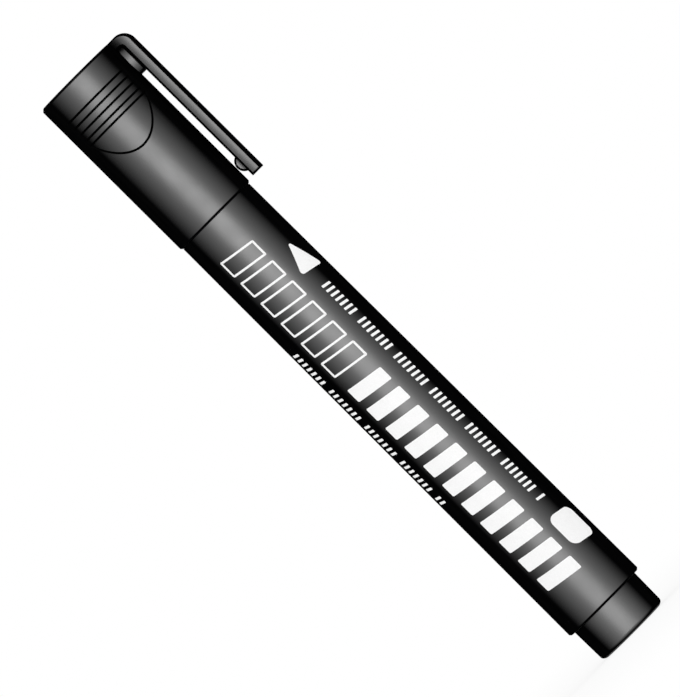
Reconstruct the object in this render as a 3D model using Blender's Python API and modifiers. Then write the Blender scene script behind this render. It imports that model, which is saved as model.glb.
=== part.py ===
"""Permanent marker: barrel, tail plug, fibre nib and core, and a cap with a pocket clip.

Metres, +Z up. The marker stands on the flat end of its tail plug, with its axis on Z, the cap at the top and
the clip towards +X. The origin is the centre of the tail plug's end face.
"""

import math

import bmesh
import bpy
from mathutils import Matrix

# Facets round the turned pieces: all start at +X, so that neighbours keep an even gap
SEGMENTS = 48
NIB_SEGMENTS = 24
POST_SEGMENTS = 24
ARC_STEPS = 4
EDGE_STEPS = 2
SMOOTH_ANGLE = math.radians(35)

# Points closer than this are one point, and a cutter runs this far past the faces it cuts
WELD = 0.000001
CUT_PAST = 0.001

# Clearances
SEAT_GAP = 0.0003
FIT_GAP = 0.00015
CAP_FIT_GAP = 0.0002
FILM_GAP = 0.0001

# Barrel
BARREL_LENGTH = 0.0960
BARREL_FRONT_RADIUS = 0.00815
BARREL_TAPER = 0.0003
BARREL_WALL = 0.00145
BARREL_EDGE = 0.0004
RIB_COUNT = 6
RIB_HEIGHT = 0.0006
RIB_WIDTH = 0.0008

# Tail plug
PLUG_HEAD_LENGTH = 0.0070
PLUG_STEP = 0.00103
PLUG_DRAFT = 0.0001
PLUG_END_ROUND = 0.0014
PLUG_SPIGOT_LENGTH = 0.0060
PLUG_WALL = 0.0012
PLUG_END_WALL = 0.0020

# Nib holder, from its collar to the mouth of its nozzle
HOLDER_SPIGOT_LENGTH = 0.0080
HOLDER_WALL = 0.0012
COLLAR_LENGTH = 0.0012
NECK_LENGTH = 0.0076
SHOULDER_LENGTH = 0.0020
NOZZLE_LENGTH = 0.0060
NOSE_LENGTH = 0.0040
NOSE_STEP = 0.00105
MOUTH_WALL = 0.0007
VENT_WIDTH = 0.0006
VENT_DEPTH = 0.0004
LEAD_IN = 0.0003

# Nib
NIB_RADIUS = 0.0020
NIB_REACH = 0.0050
NIB_TIP_ROUND = 0.0007
NIB_CONE_ANGLE = math.radians(27)
NIB_CORE_DEPTH = 0.0060

# Film round the ink core
FILM_WALL = 0.00015

# Cap
CAP_STEP = 0.00037
CAP_WALL = 0.0012
CAP_END_WALL = 0.0021
CAP_EDGE = 0.0004

# Snap ring inside the cap and snap bead on the neck
SNAP_RING_HEIGHT = 0.00035
SNAP_BEAD_HEIGHT = 0.00035
SNAP_WIDTH = 0.0012
SNAP_RING_FROM_COLLAR = 0.0005

# Inner cap
INNER_CAP_WALL = 0.0008
INNER_CAP_END = 0.0012
INNER_CAP_FLANGE = 0.0016
NIB_HEADROOM = 0.0050
SEAL_START = 0.0010

# Pocket clip
CLIP_GAP = 0.00127
CLIP_THICKNESS = 0.0024
CLIP_WIDTH = 0.0064
CLIP_BEND_RADIUS = 0.0023
CLIP_LEG_RISE = 0.0001
CLIP_TIP_INSET = 0.0002
CLIP_EDGE = 0.0006
CLIP_ROOT_OVERHANG = 0.0003
POST_RADIUS = 0.0029
POST_OVERLAP = 0.0002
BUMP_FROM_TIP = 0.0027
BUMP_HALF_WIDTH = 0.00155
BUMP_CAP_GAP = 0.00028

# Finger grip on the cap: straight grooves, then a tongue with a curved front
GRIP_FROM_END = 0.0050
GRIP_PITCH = 0.00145
GRIP_GROOVES = 4
GRIP_HALF_ANGLE = math.radians(52.5)
GRIP_GROOVE_RADIUS = 0.00018
GRIP_GROOVE_DEPTH = 0.00012
TONGUE_GAP = 0.00115
TONGUE_LENGTH = 0.0064

# Radii that follow from the sizes above
BARREL_TAIL_RADIUS = BARREL_FRONT_RADIUS + BARREL_TAPER
BORE_RADIUS = BARREL_FRONT_RADIUS - BARREL_WALL
SPIGOT_RADIUS = BORE_RADIUS - FIT_GAP
RIB_TIP_RADIUS = BORE_RADIUS - RIB_HEIGHT
FILM_RADIUS = RIB_TIP_RADIUS - FIT_GAP
FILM_BORE_RADIUS = FILM_RADIUS - FILM_WALL
CORE_RADIUS = FILM_BORE_RADIUS - FILM_GAP
PLUG_HEAD_RADIUS = BARREL_TAIL_RADIUS - PLUG_STEP
CAP_RADIUS = BARREL_FRONT_RADIUS + CAP_STEP
CAP_BORE_RADIUS = CAP_RADIUS - CAP_WALL
SNAP_RING_RADIUS = CAP_BORE_RADIUS - SNAP_RING_HEIGHT
COLLAR_RADIUS = CAP_BORE_RADIUS - CAP_FIT_GAP
SNAP_BEAD_RADIUS = SNAP_RING_RADIUS - CAP_FIT_GAP
NECK_RADIUS = SNAP_BEAD_RADIUS - SNAP_BEAD_HEIGHT
NIB_BORE_RADIUS = NIB_RADIUS + FIT_GAP
MOUTH_RADIUS = NIB_BORE_RADIUS + VENT_DEPTH + MOUTH_WALL
NOZZLE_RADIUS = MOUTH_RADIUS + NOSE_STEP
PASSAGE_RADIUS = min(SPIGOT_RADIUS, NECK_RADIUS) - HOLDER_WALL

# Heights along the axis
BARREL_Z = PLUG_HEAD_LENGTH + SEAT_GAP
BARREL_TOP_Z = BARREL_Z + BARREL_LENGTH
CAP_Z = BARREL_TOP_Z + SEAT_GAP
HOLDER_Z = BARREL_TOP_Z + SEAT_GAP
NECK_TOP = COLLAR_LENGTH + NECK_LENGTH
NOZZLE_START = NECK_TOP + SHOULDER_LENGTH
NOSE_START = NOZZLE_START + NOZZLE_LENGTH
MOUTH = NOSE_START + NOSE_LENGTH
NIB_TIP = MOUTH + NIB_REACH
SNAP_RING_START = COLLAR_LENGTH + SNAP_RING_FROM_COLLAR
SNAP_BEAD_START = SNAP_RING_START + SNAP_WIDTH + SEAT_GAP
INNER_CAP_START = NOZZLE_START + SEAL_START
INNER_CAP_LENGTH = NIB_TIP + NIB_HEADROOM + INNER_CAP_END - INNER_CAP_START
CAP_DEPTH = INNER_CAP_START + INNER_CAP_LENGTH + SEAT_GAP
CAP_LENGTH = CAP_DEPTH + CAP_END_WALL
CORE_Z = PLUG_HEAD_LENGTH + PLUG_SPIGOT_LENGTH + SEAT_GAP
CORE_TOP_Z = HOLDER_Z - HOLDER_SPIGOT_LENGTH - SEAT_GAP
CORE_LENGTH = CORE_TOP_Z - CORE_Z
NIB_Z = CORE_TOP_Z - NIB_CORE_DEPTH
NIB_LENGTH = HOLDER_Z + NIB_TIP - NIB_Z

# Clip faces and its flexing line, in the cap's frame, whose zero is the rim
CLIP_INNER_X = CAP_RADIUS + CLIP_GAP
CLIP_OUTER_X = CLIP_INNER_X + CLIP_THICKNESS
LEG_Z = CAP_DEPTH + CLIP_LEG_RISE
POST_Z = LEG_Z + POST_OVERLAP - POST_RADIUS
CLIP_ROOT_END = POST_Z - POST_RADIUS - CLIP_ROOT_OVERHANG
HINGE_X = CLIP_INNER_X + CLIP_THICKNESS / 2
HINGE_Z = CLIP_ROOT_END - SEAT_GAP / 2

# Finishes: colour and roughness
BLACK_PLASTIC = ((0.012, 0.012, 0.013, 1.0), 0.38)
INKED_FIBRE = ((0.02, 0.02, 0.022, 1.0), 0.9)
MILKY_PLASTIC = ((0.80, 0.80, 0.77, 1.0), 0.45)
CLEAR_FILM = ((0.75, 0.77, 0.78, 1.0), 0.2)


def clear_scene():
    for obj in list(bpy.data.objects):
        bpy.data.objects.remove(obj, do_unlink=True)


def new_collection(name):
    group = bpy.data.collections.new(name)
    bpy.context.scene.collection.children.link(group)
    return group


def add_material(obj, finish):
    """Give a piece its own plain plastic or fibre material."""
    colour, roughness = finish
    made = bpy.data.materials.new(obj.name)
    made.use_nodes = True
    shader = made.node_tree.nodes["Principled BSDF"]
    shader.inputs["Base Color"].default_value = colour
    shader.inputs["Roughness"].default_value = roughness
    shader.inputs["Metallic"].default_value = 0.0
    obj.data.materials.append(made)


def arc(centre_x, centre_z, radius, start, end, steps=ARC_STEPS):
    """Points on a round corner, from one angle to the other in degrees."""
    points = []
    for step in range(steps + 1):
        angle = math.radians(start + (end - start) * step / steps)
        points.append((centre_x + radius * math.cos(angle), centre_z + radius * math.sin(angle)))
    return points


def turned(name, group, profile, closed, height, segments=SEGMENTS):
    """A turned piece from (radius, z) points that run down its outer side, set at a height on the axis."""
    count = len(profile)
    edges = [(i, i + 1) for i in range(count - 1)]
    if closed:
        edges.append((count - 1, 0))
    mesh = bpy.data.meshes.new(name)
    mesh.from_pydata([(radius, 0.0, z) for radius, z in profile], edges, [])
    obj = bpy.data.objects.new(name, mesh)
    obj.location.z = height
    group.objects.link(obj)
    screw = obj.modifiers.new("turn", "SCREW")
    screw.axis = "Z"
    screw.angle = 2 * math.pi
    screw.steps = segments
    screw.render_steps = segments
    screw.use_merge_vertices = True
    screw.merge_threshold = WELD
    screw.use_smooth_shade = True
    return obj


def mesh_object(name, group, shape):
    """An object from a finished bmesh, shaded smooth with its corners kept sharp."""
    mesh = bpy.data.meshes.new(name)
    shape.to_mesh(mesh)
    shape.free()
    mesh.shade_smooth()
    mesh.set_sharp_from_angle(angle=SMOOTH_ANGLE)
    obj = bpy.data.objects.new(name, mesh)
    group.objects.link(obj)
    return obj


def curve_shape(curve_object):
    """A welded bmesh of a curve as it stands in the scene. The curve is then removed."""
    bpy.context.view_layer.update()
    graph = bpy.context.evaluated_depsgraph_get()
    mesh = bpy.data.meshes.new_from_object(curve_object.evaluated_get(graph))
    shape = bmesh.new()
    shape.from_mesh(mesh)
    shape.transform(curve_object.matrix_world)
    bmesh.ops.remove_doubles(shape, verts=shape.verts, dist=WELD)
    bmesh.ops.recalc_face_normals(shape, faces=shape.faces)
    bpy.data.objects.remove(curve_object, do_unlink=True)
    bpy.data.meshes.remove(mesh)
    return shape


def clip_outline(name, group, outer, inner):
    """A clip section drawn in X and Z, as wide as the clip, with the long edges of its outer side rounded."""
    points = outer + inner
    curve = bpy.data.curves.new(name, "CURVE")
    curve.dimensions = "2D"
    curve.fill_mode = "BOTH"
    curve.extrude = CLIP_WIDTH / 2
    line = curve.splines.new("POLY")
    line.points.add(len(points) - 1)
    for point, (x, z) in zip(line.points, points):
        point.co = (x, z, 0.0, 1.0)
    line.use_cyclic_u = True
    drawn = bpy.data.objects.new(name, curve)
    drawn.rotation_euler.x = math.pi / 2
    group.objects.link(drawn)
    shape = curve_shape(drawn)
    rounded = []
    for edge in shape.edges:
        ends = [(vert.co.x, vert.co.z) for vert in edge.verts]
        on_outer = all(min(math.dist(end, point) for point in outer) < WELD for end in ends)
        if on_outer and abs(edge.verts[0].co.y - edge.verts[1].co.y) < WELD:
            rounded.append(edge)
    bmesh.ops.bevel(
        shape,
        geom=rounded,
        offset=CLIP_EDGE,
        affect="EDGES",
        segments=EDGE_STEPS,
        profile=0.5,
        material=-1,
        clamp_overlap=True,
    )
    return mesh_object(name, group, shape)


def groove_tubes(name, group, lines):
    """Thin tubes along open or closed lines of points, in one mesh, to cut grooves with."""
    curve = bpy.data.curves.new(name, "CURVE")
    curve.dimensions = "3D"
    curve.bevel_depth = GRIP_GROOVE_RADIUS
    curve.bevel_resolution = 1
    curve.use_fill_caps = True
    for points, closed in lines:
        line = curve.splines.new("POLY")
        line.points.add(len(points) - 1)
        for point, place in zip(line.points, points):
            point.co = (*place, 1.0)
        line.use_cyclic_u = closed
    drawn = bpy.data.objects.new(name, curve)
    group.objects.link(drawn)
    return mesh_object(name, group, curve_shape(drawn))


def combine(obj, other, operation):
    """Join another mesh to a piece, or cut it away, and keep the other as a hidden guide."""
    other.hide_render = True
    other.display_type = "WIRE"
    change = obj.modifiers.new(other.name, "BOOLEAN")
    change.operation = operation
    change.solver = "EXACT"
    change.object = other


def make_barrel(parts, cutters):
    length = BARREL_LENGTH
    front = BARREL_FRONT_RADIUS - BARREL_EDGE
    tail = BARREL_TAIL_RADIUS - BARREL_EDGE
    profile = arc(front, length - BARREL_EDGE, BARREL_EDGE, 90, 0, EDGE_STEPS)
    profile += arc(tail, BARREL_EDGE, BARREL_EDGE, 0, -90, EDGE_STEPS)
    profile += [(BORE_RADIUS, 0.0), (BORE_RADIUS, length)]
    barrel = turned("barrel", parts, profile, True, BARREL_Z)
    shape = bmesh.new()
    rib_root = BORE_RADIUS + BARREL_WALL / 2
    rib_depth = rib_root - RIB_TIP_RADIUS
    size = Matrix.Diagonal((rib_depth, RIB_WIDTH, CORE_LENGTH, 1.0))
    place = Matrix.Translation((RIB_TIP_RADIUS + rib_depth / 2, 0.0, CORE_Z + CORE_LENGTH / 2))
    for rib in range(RIB_COUNT):
        turn = Matrix.Rotation(2 * math.pi * rib / RIB_COUNT, 4, "Z")
        bmesh.ops.create_cube(shape, size=1.0, matrix=turn @ place @ size)
    combine(barrel, mesh_object("barrel_ribs", cutters, shape), "UNION")
    add_material(barrel, BLACK_PLASTIC)


def make_tail_plug(parts):
    top = PLUG_HEAD_LENGTH + PLUG_SPIGOT_LENGTH
    end_radius = PLUG_HEAD_RADIUS - PLUG_DRAFT
    hollow = SPIGOT_RADIUS - PLUG_WALL
    profile = [(0.0, PLUG_END_WALL), (hollow, PLUG_END_WALL), (hollow, top)]
    profile += [(SPIGOT_RADIUS - LEAD_IN, top), (SPIGOT_RADIUS, top - LEAD_IN)]
    profile += [(SPIGOT_RADIUS, PLUG_HEAD_LENGTH), (PLUG_HEAD_RADIUS - LEAD_IN, PLUG_HEAD_LENGTH)]
    profile += [(PLUG_HEAD_RADIUS, PLUG_HEAD_LENGTH - LEAD_IN)]
    profile += arc(end_radius - PLUG_END_ROUND, PLUG_END_ROUND, PLUG_END_ROUND, 0, -90)
    profile += [(0.0, 0.0)]
    plug = turned("tail_plug", parts, profile, False, 0.0)
    add_material(plug, BLACK_PLASTIC)


def snap_rib(radius, height, start):
    """A low rib round a wall, as points from top to bottom; a height below 0 stands inwards."""
    top = start + SNAP_WIDTH
    flank = SNAP_WIDTH / 3
    rib = radius + height
    return [(radius, top), (rib, top - flank), (rib, start + flank), (radius, start)]


def make_nib_holder(parts, cutters):
    end = -HOLDER_SPIGOT_LENGTH
    profile = [(MOUTH_RADIUS - LEAD_IN, MOUTH), (MOUTH_RADIUS, MOUTH - LEAD_IN)]
    profile += [(NOZZLE_RADIUS, NOSE_START), (NOZZLE_RADIUS, NOZZLE_START), (NECK_RADIUS, NECK_TOP)]
    profile += snap_rib(NECK_RADIUS, SNAP_BEAD_HEIGHT, SNAP_BEAD_START)
    profile += [(NECK_RADIUS, COLLAR_LENGTH), (COLLAR_RADIUS - LEAD_IN, COLLAR_LENGTH)]
    profile += [(COLLAR_RADIUS, COLLAR_LENGTH - LEAD_IN), (COLLAR_RADIUS, 0.0), (SPIGOT_RADIUS, 0.0)]
    profile += [(SPIGOT_RADIUS, end + LEAD_IN), (SPIGOT_RADIUS - LEAD_IN, end), (PASSAGE_RADIUS, end)]
    profile += [(PASSAGE_RADIUS, NECK_TOP), (NIB_BORE_RADIUS, NECK_TOP), (NIB_BORE_RADIUS, MOUTH)]
    holder = turned("nib_holder", parts, profile, True, HOLDER_Z)
    vent_reach = 2 * (NIB_BORE_RADIUS + VENT_DEPTH)
    vent_length = MOUTH - NECK_TOP + 2 * CUT_PAST
    middle = Matrix.Translation((0.0, 0.0, HOLDER_Z + (MOUTH + NECK_TOP) / 2))
    for name, size in (
        ("vent_slot_x", (vent_reach, VENT_WIDTH, vent_length, 1.0)),
        ("vent_slot_y", (VENT_WIDTH, vent_reach, vent_length, 1.0)),
    ):
        shape = bmesh.new()
        bmesh.ops.create_cube(shape, size=1.0, matrix=middle @ Matrix.Diagonal(size))
        combine(holder, mesh_object(name, cutters, shape), "DIFFERENCE")
    add_material(holder, BLACK_PLASTIC)


def make_nib(parts):
    tip_angle = math.degrees(NIB_CONE_ANGLE)
    tangent_radius = NIB_TIP_ROUND * math.cos(NIB_CONE_ANGLE)
    tangent_z = NIB_LENGTH - NIB_TIP_ROUND * (1 - math.sin(NIB_CONE_ANGLE))
    cone_end = tangent_z - (NIB_RADIUS - tangent_radius) / math.tan(NIB_CONE_ANGLE)
    profile = arc(0.0, NIB_LENGTH - NIB_TIP_ROUND, NIB_TIP_ROUND, 90, tip_angle)
    profile += [(NIB_RADIUS, cone_end), (NIB_RADIUS, LEAD_IN), (NIB_RADIUS - LEAD_IN, 0.0), (0.0, 0.0)]
    nib = turned("nib", parts, profile, False, NIB_Z, NIB_SEGMENTS)
    add_material(nib, INKED_FIBRE)


def make_ink_core(parts):
    pocket_floor = CORE_LENGTH - NIB_CORE_DEPTH - SEAT_GAP
    profile = [(0.0, pocket_floor), (NIB_BORE_RADIUS, pocket_floor), (NIB_BORE_RADIUS, CORE_LENGTH)]
    profile += [(CORE_RADIUS, CORE_LENGTH), (CORE_RADIUS, 0.0), (0.0, 0.0)]
    core = turned("ink_core", parts, profile, False, CORE_Z)
    add_material(core, INKED_FIBRE)


def make_core_film(parts):
    profile = [(FILM_RADIUS, CORE_LENGTH), (FILM_RADIUS, 0.0)]
    profile += [(FILM_BORE_RADIUS, 0.0), (FILM_BORE_RADIUS, CORE_LENGTH)]
    film = turned("core_film", parts, profile, True, CORE_Z)
    add_material(film, CLEAR_FILM)


def grip_point(angle, height, side):
    """The middle of a groove tube, by its angle from the middle of one face of the grip."""
    radius = CAP_RADIUS + GRIP_GROOVE_RADIUS - GRIP_GROOVE_DEPTH
    return (radius * math.sin(angle), side * radius * math.cos(angle), CAP_Z + height)


def grip_cutter(cutters):
    """Tubes for the straight grooves and the tongue's outline, on both faces of the cap."""
    facet = 2 * math.pi / SEGMENTS
    half_facets = round(GRIP_HALF_ANGLE / facet)
    angles = [facet * step for step in range(-half_facets, half_facets + 1)]
    heights = [CAP_LENGTH - GRIP_FROM_END - GRIP_PITCH * groove for groove in range(GRIP_GROOVES)]
    tongue_base = heights[-1] - TONGUE_GAP
    lines = []
    for side in (-1, 1):
        for height in heights:
            lines.append(([grip_point(angle, height, side) for angle in angles], False))
        outline = [grip_point(angle, tongue_base, side) for angle in angles]
        for angle in reversed(angles[1:-1]):
            curved = TONGUE_LENGTH * (1 - (angle / angles[-1]) ** 2)
            outline.append(grip_point(angle, tongue_base - curved, side))
        lines.append((outline, True))
    return groove_tubes("grip_grooves", cutters, lines)


def make_cap_shell(parts, cutters):
    edge_radius = CAP_RADIUS - CAP_EDGE
    profile = [(0.0, CAP_LENGTH)] + arc(edge_radius, CAP_LENGTH - CAP_EDGE, CAP_EDGE, 90, 0, EDGE_STEPS)
    profile += arc(edge_radius, CAP_EDGE, CAP_EDGE, 0, -90, EDGE_STEPS)
    profile += [(CAP_BORE_RADIUS, 0.0)]
    profile += reversed(snap_rib(CAP_BORE_RADIUS, -SNAP_RING_HEIGHT, SNAP_RING_START))
    profile += [(CAP_BORE_RADIUS, CAP_DEPTH), (0.0, CAP_DEPTH)]
    cap = turned("cap_shell", parts, profile, False, CAP_Z)
    leg_start = CAP_RADIUS / 2
    bend_x = CLIP_OUTER_X - CLIP_BEND_RADIUS
    outer = [(leg_start, CAP_LENGTH)]
    outer += arc(bend_x, CAP_LENGTH - CLIP_BEND_RADIUS, CLIP_BEND_RADIUS, 90, 0)
    outer += [(CLIP_OUTER_X, CLIP_ROOT_END)]
    inner = [(CLIP_INNER_X, CLIP_ROOT_END), (CLIP_INNER_X, LEG_Z), (leg_start, LEG_Z)]
    root = clip_outline("clip_root", cutters, outer, inner)
    root.location.z = CAP_Z
    combine(cap, root, "UNION")
    wall_middle = CAP_RADIUS - CAP_WALL / 2
    post_length = CLIP_INNER_X + CLIP_THICKNESS / 2 - wall_middle
    shape = bmesh.new()
    along_x = Matrix.Rotation(math.pi / 2, 4, "Y")
    place = Matrix.Translation((wall_middle + post_length / 2, 0.0, CAP_Z + POST_Z))
    bmesh.ops.create_cone(
        shape,
        cap_ends=True,
        segments=POST_SEGMENTS,
        radius1=POST_RADIUS,
        radius2=POST_RADIUS,
        depth=post_length,
        matrix=place @ along_x,
    )
    combine(cap, mesh_object("clip_post", cutters, shape), "UNION")
    combine(cap, grip_cutter(cutters), "DIFFERENCE")
    add_material(cap, BLACK_PLASTIC)
    return cap


def make_inner_cap(parts):
    flange = CAP_BORE_RADIUS - FIT_GAP
    sleeve_bore = NOZZLE_RADIUS + FIT_GAP
    sleeve = sleeve_bore + INNER_CAP_WALL
    length = INNER_CAP_LENGTH
    profile = [(0.0, length), (flange - LEAD_IN, length), (flange, length - LEAD_IN)]
    profile += [(flange, length - INNER_CAP_FLANGE), (sleeve, length - INNER_CAP_FLANGE)]
    profile += [(sleeve, 0.0), (sleeve_bore + LEAD_IN, 0.0), (sleeve_bore, LEAD_IN)]
    profile += [(sleeve_bore, length - INNER_CAP_END), (0.0, length - INNER_CAP_END)]
    inner = turned("inner_cap", parts, profile, False, CAP_Z + INNER_CAP_START)
    add_material(inner, MILKY_PLASTIC)
    return inner


def make_clip_arm(parts):
    """The free strap, drawn round its flexing line, with the half-round bump that grips the cloth."""
    inner = CLIP_INNER_X - HINGE_X
    outer = CLIP_OUTER_X - HINGE_X
    top = CLIP_ROOT_END - SEAT_GAP - HINGE_Z
    tip = CLIP_TIP_INSET - HINGE_Z
    rise = CLIP_GAP - BUMP_CAP_GAP
    bump_radius = (BUMP_HALF_WIDTH**2 + rise**2) / (2 * rise)
    half_angle = math.degrees(math.atan2(BUMP_HALF_WIDTH, bump_radius - rise))
    bump_x = inner - rise + bump_radius
    inner_side = [(inner, tip)]
    inner_side += arc(bump_x, tip + BUMP_FROM_TIP, bump_radius, 180 + half_angle, 180 - half_angle)
    inner_side += [(inner, top)]
    clip = clip_outline("clip_arm", parts, [(outer, top), (outer, tip)], inner_side)
    add_material(clip, BLACK_PLASTIC)
    return clip


def main():
    clear_scene()
    parts = new_collection("permanent_marker")
    cutters = new_collection("cutters")
    make_barrel(parts, cutters)
    make_tail_plug(parts)
    make_nib_holder(parts, cutters)
    make_nib(parts)
    make_ink_core(parts)
    make_core_film(parts)
    cap = make_cap_shell(parts, cutters)
    inner = make_inner_cap(parts)
    clip = make_clip_arm(parts)
    inner.parent = cap
    inner.location.z = INNER_CAP_START
    clip.parent = cap
    clip.location = (HINGE_X, 0.0, HINGE_Z)


main()
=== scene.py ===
"""Fine surfaces, finishes, print, stage and camera for a permanent marker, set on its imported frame."""

import math

import bmesh
import bpy
from bpy.props import FloatProperty, FloatVectorProperty, IntProperty, PointerProperty
from mathutils import Matrix, Vector


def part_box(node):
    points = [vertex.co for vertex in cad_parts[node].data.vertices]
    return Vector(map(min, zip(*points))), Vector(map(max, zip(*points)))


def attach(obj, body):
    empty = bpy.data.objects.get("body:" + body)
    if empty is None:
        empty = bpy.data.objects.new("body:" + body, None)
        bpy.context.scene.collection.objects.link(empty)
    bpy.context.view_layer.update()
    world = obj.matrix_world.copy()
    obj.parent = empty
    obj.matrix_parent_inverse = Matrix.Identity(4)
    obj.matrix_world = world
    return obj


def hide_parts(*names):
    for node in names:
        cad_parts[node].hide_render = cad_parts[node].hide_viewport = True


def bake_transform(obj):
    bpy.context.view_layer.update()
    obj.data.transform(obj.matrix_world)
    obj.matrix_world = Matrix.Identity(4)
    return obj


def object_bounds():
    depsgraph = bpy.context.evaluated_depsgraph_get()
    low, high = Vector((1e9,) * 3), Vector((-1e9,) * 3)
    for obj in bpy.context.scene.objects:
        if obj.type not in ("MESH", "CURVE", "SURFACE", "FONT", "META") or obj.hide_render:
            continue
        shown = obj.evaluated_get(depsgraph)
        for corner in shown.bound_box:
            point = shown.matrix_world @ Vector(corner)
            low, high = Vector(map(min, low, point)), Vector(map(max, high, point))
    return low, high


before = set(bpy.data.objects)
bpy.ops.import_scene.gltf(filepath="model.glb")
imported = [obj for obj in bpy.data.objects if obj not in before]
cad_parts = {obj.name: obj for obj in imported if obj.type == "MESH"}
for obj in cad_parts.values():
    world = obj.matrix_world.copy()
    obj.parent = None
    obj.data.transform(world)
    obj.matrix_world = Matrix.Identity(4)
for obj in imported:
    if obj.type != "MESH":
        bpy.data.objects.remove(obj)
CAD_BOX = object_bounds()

bl_info = {
    "name": "Permanent Marker",
    "version": (1, 0, 0),
    "blender": (4, 5, 0),
    "location": "View3D > Sidebar > Marker",
    "description": "Fine surfaces, finishes, print and stage for a permanent marker",
    "category": "Object",
}

# Places of the pieces, from the frame
BARREL_LOW, BARREL_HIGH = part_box("barrel")
PLUG_LOW, PLUG_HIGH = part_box("tail_plug")
HOLDER_LOW, HOLDER_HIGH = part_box("nib_holder")
NIB_LOW, NIB_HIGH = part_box("nib")
CAP_LOW, CAP_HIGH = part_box("cap_shell")
INNER_CAP_LOW, INNER_CAP_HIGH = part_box("inner_cap")
CLIP_LOW, CLIP_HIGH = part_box("clip_arm")

# Fineness of the meshes
ARC_STEPS = 10
GROOVE_STEPS = 48
FLEX_CUTS = 10
CROWN_CUTS = 10
BUMP_CUTS = 6
NIB_SEGMENTS = 72
POST_SEGMENTS = 72
FLOOR_SEGMENTS = 96
WELD = 1e-6
SHARP_ANGLE = math.radians(38)
CLIP_SHARP_ANGLE = math.radians(20)
SQUARE_ANGLE = math.radians(60)

# Small forms, as shares of the sizes that they belong to
HOLD_SHARE = 0.3
SLOPE_ROUND_SHARE = 1 / 3
FLANK_SHARE = 1 / 3
TICK_ROUND_SHARE = 1 / 4

# Section of a grip groove: its cutter has three equal sides, stands proud of the cap and is 1.5 radii high
GROOVE_SIDES = 3
GROOVE_SLOPE = math.radians(60)
GROOVE_PROUD = 0.5
GROOVE_HEIGHT = 1.5

# Gloss of the black plastic: in the open, down in a groove and on flat ends; the groove's near-matt gloss
# keeps the grooves dark, as painted shade
FULL_GLOSS = 1.0
GROOVE_SHADE_GLOSS = 0.02
END_GLOSS = 0.35

# How the gloss dies away: towards the edges, off the flat ends and where these are seen at a low angle
FADE_END = 0.36
FADE_POWER = 1.6
FLAT_START = 0.8
GRAZING_START = 0.6
GRAZING_END = 0.9

# Refraction of the plastics, by piece
CAP_INDEX = 1.53
BARREL_INDEX = 1.545
PLUG_INDEX = 1.615

# Middle range of a noise, which holds most of its values
NOISE_LOW = 0.3
NOISE_HIGH = 0.7

# Floor: its place under the marker, and its glow, which is weaker near the marker and leaves its shadow
WHITE = (1.0, 1.0, 1.0, 1.0)
FLOOR_DROP = 0.00002
FLOOR_ROUGHNESS = 0.9
SHADOW_GLOW = 0.8
SHADOW_START = 0.02
SHADOW_END = 0.30

# Softboxes: their direction from the marker in degrees, their distance and size in metres, their power
LAMPS = {
    "front_softbox": dict(azimuth=0.0, elevation=2.5, distance=0.8, width=0.66, height=0.21, watts=3.6),
    "back_softbox": dict(azimuth=180.0, elevation=2.5, distance=0.8, width=0.66, height=0.21, watts=3.6),
    "left_softbox": dict(azimuth=-115.0, elevation=6.0, distance=0.9, width=0.5, height=0.3, watts=2.2),
    "right_softbox": dict(azimuth=115.0, elevation=6.0, distance=0.9, width=0.5, height=0.3, watts=2.2),
    "top_softbox": dict(azimuth=0.0, elevation=88.0, distance=0.9, width=0.6, height=0.6, watts=4.0),
}


# Sizes and colours that a user may change


def length(name, description, default, least=0.0):
    """A size in metres."""
    return FloatProperty(
        name=name, description=description, default=default, min=least, precision=5, unit="LENGTH"
    )


def number(name, description, default):
    """A plain number, such as a ratio."""
    return FloatProperty(name=name, description=description, default=default, min=0.0)


def degrees(name, description, default):
    """An angle, given in degrees."""
    return FloatProperty(name=name, description=description, default=math.radians(default), subtype="ANGLE")


def count(name, description, default, least=0):
    """A number of like things."""
    return IntProperty(name=name, description=description, default=default, min=least)


def colour(name, description, default):
    """A colour with its opacity."""
    return FloatVectorProperty(
        name=name, description=description, default=default, size=4, min=0.0, max=1.0, subtype="COLOR"
    )


class MarkerBarrelSizes(bpy.types.PropertyGroup):
    segments: count("Segments", "Flats round each turned piece", 160, least=48)
    front_radius: length("Front radius", "Outside of the barrel at the cap", 0.00815)
    tail_radius: length("Tail radius", "Outside of the barrel at the plug", BARREL_HIGH.y)
    wall: length("Wall", "Thickness of the barrel at its front", 0.00145)
    front_slope: length("Front slope", "Slope round the barrel's front rim", 0.0001)
    tail_slope: length("Tail slope", "Slope round the barrel's tail rim", 0.00034)
    seam: length("Seam", "Room between the barrel and its neighbours", 0.00004)
    plug_head: length("Plug head", "Length of the plug outside the barrel", 0.00713)
    plug_draft: length("Plug draft", "How much the plug narrows towards its end", 0.0001)
    plug_round: length("Plug round", "Rounding of the plug's end, across", 0.0012)
    plug_round_along: length("Plug round along", "Rounding of the plug's end, along the axis", 0.0009)
    plug_edge: length("Plug edge", "Rounding of the plug's shoulder", 0.0001)
    plug_wall: length("Plug wall", "Thickness of the plug's hollow stem", 0.0012)
    plug_end_wall: length("Plug end wall", "Thickness of the plug's end", 0.0020)
    fit_gap: length("Fit gap", "Room round what is pressed into the barrel", 0.00015)


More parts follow.
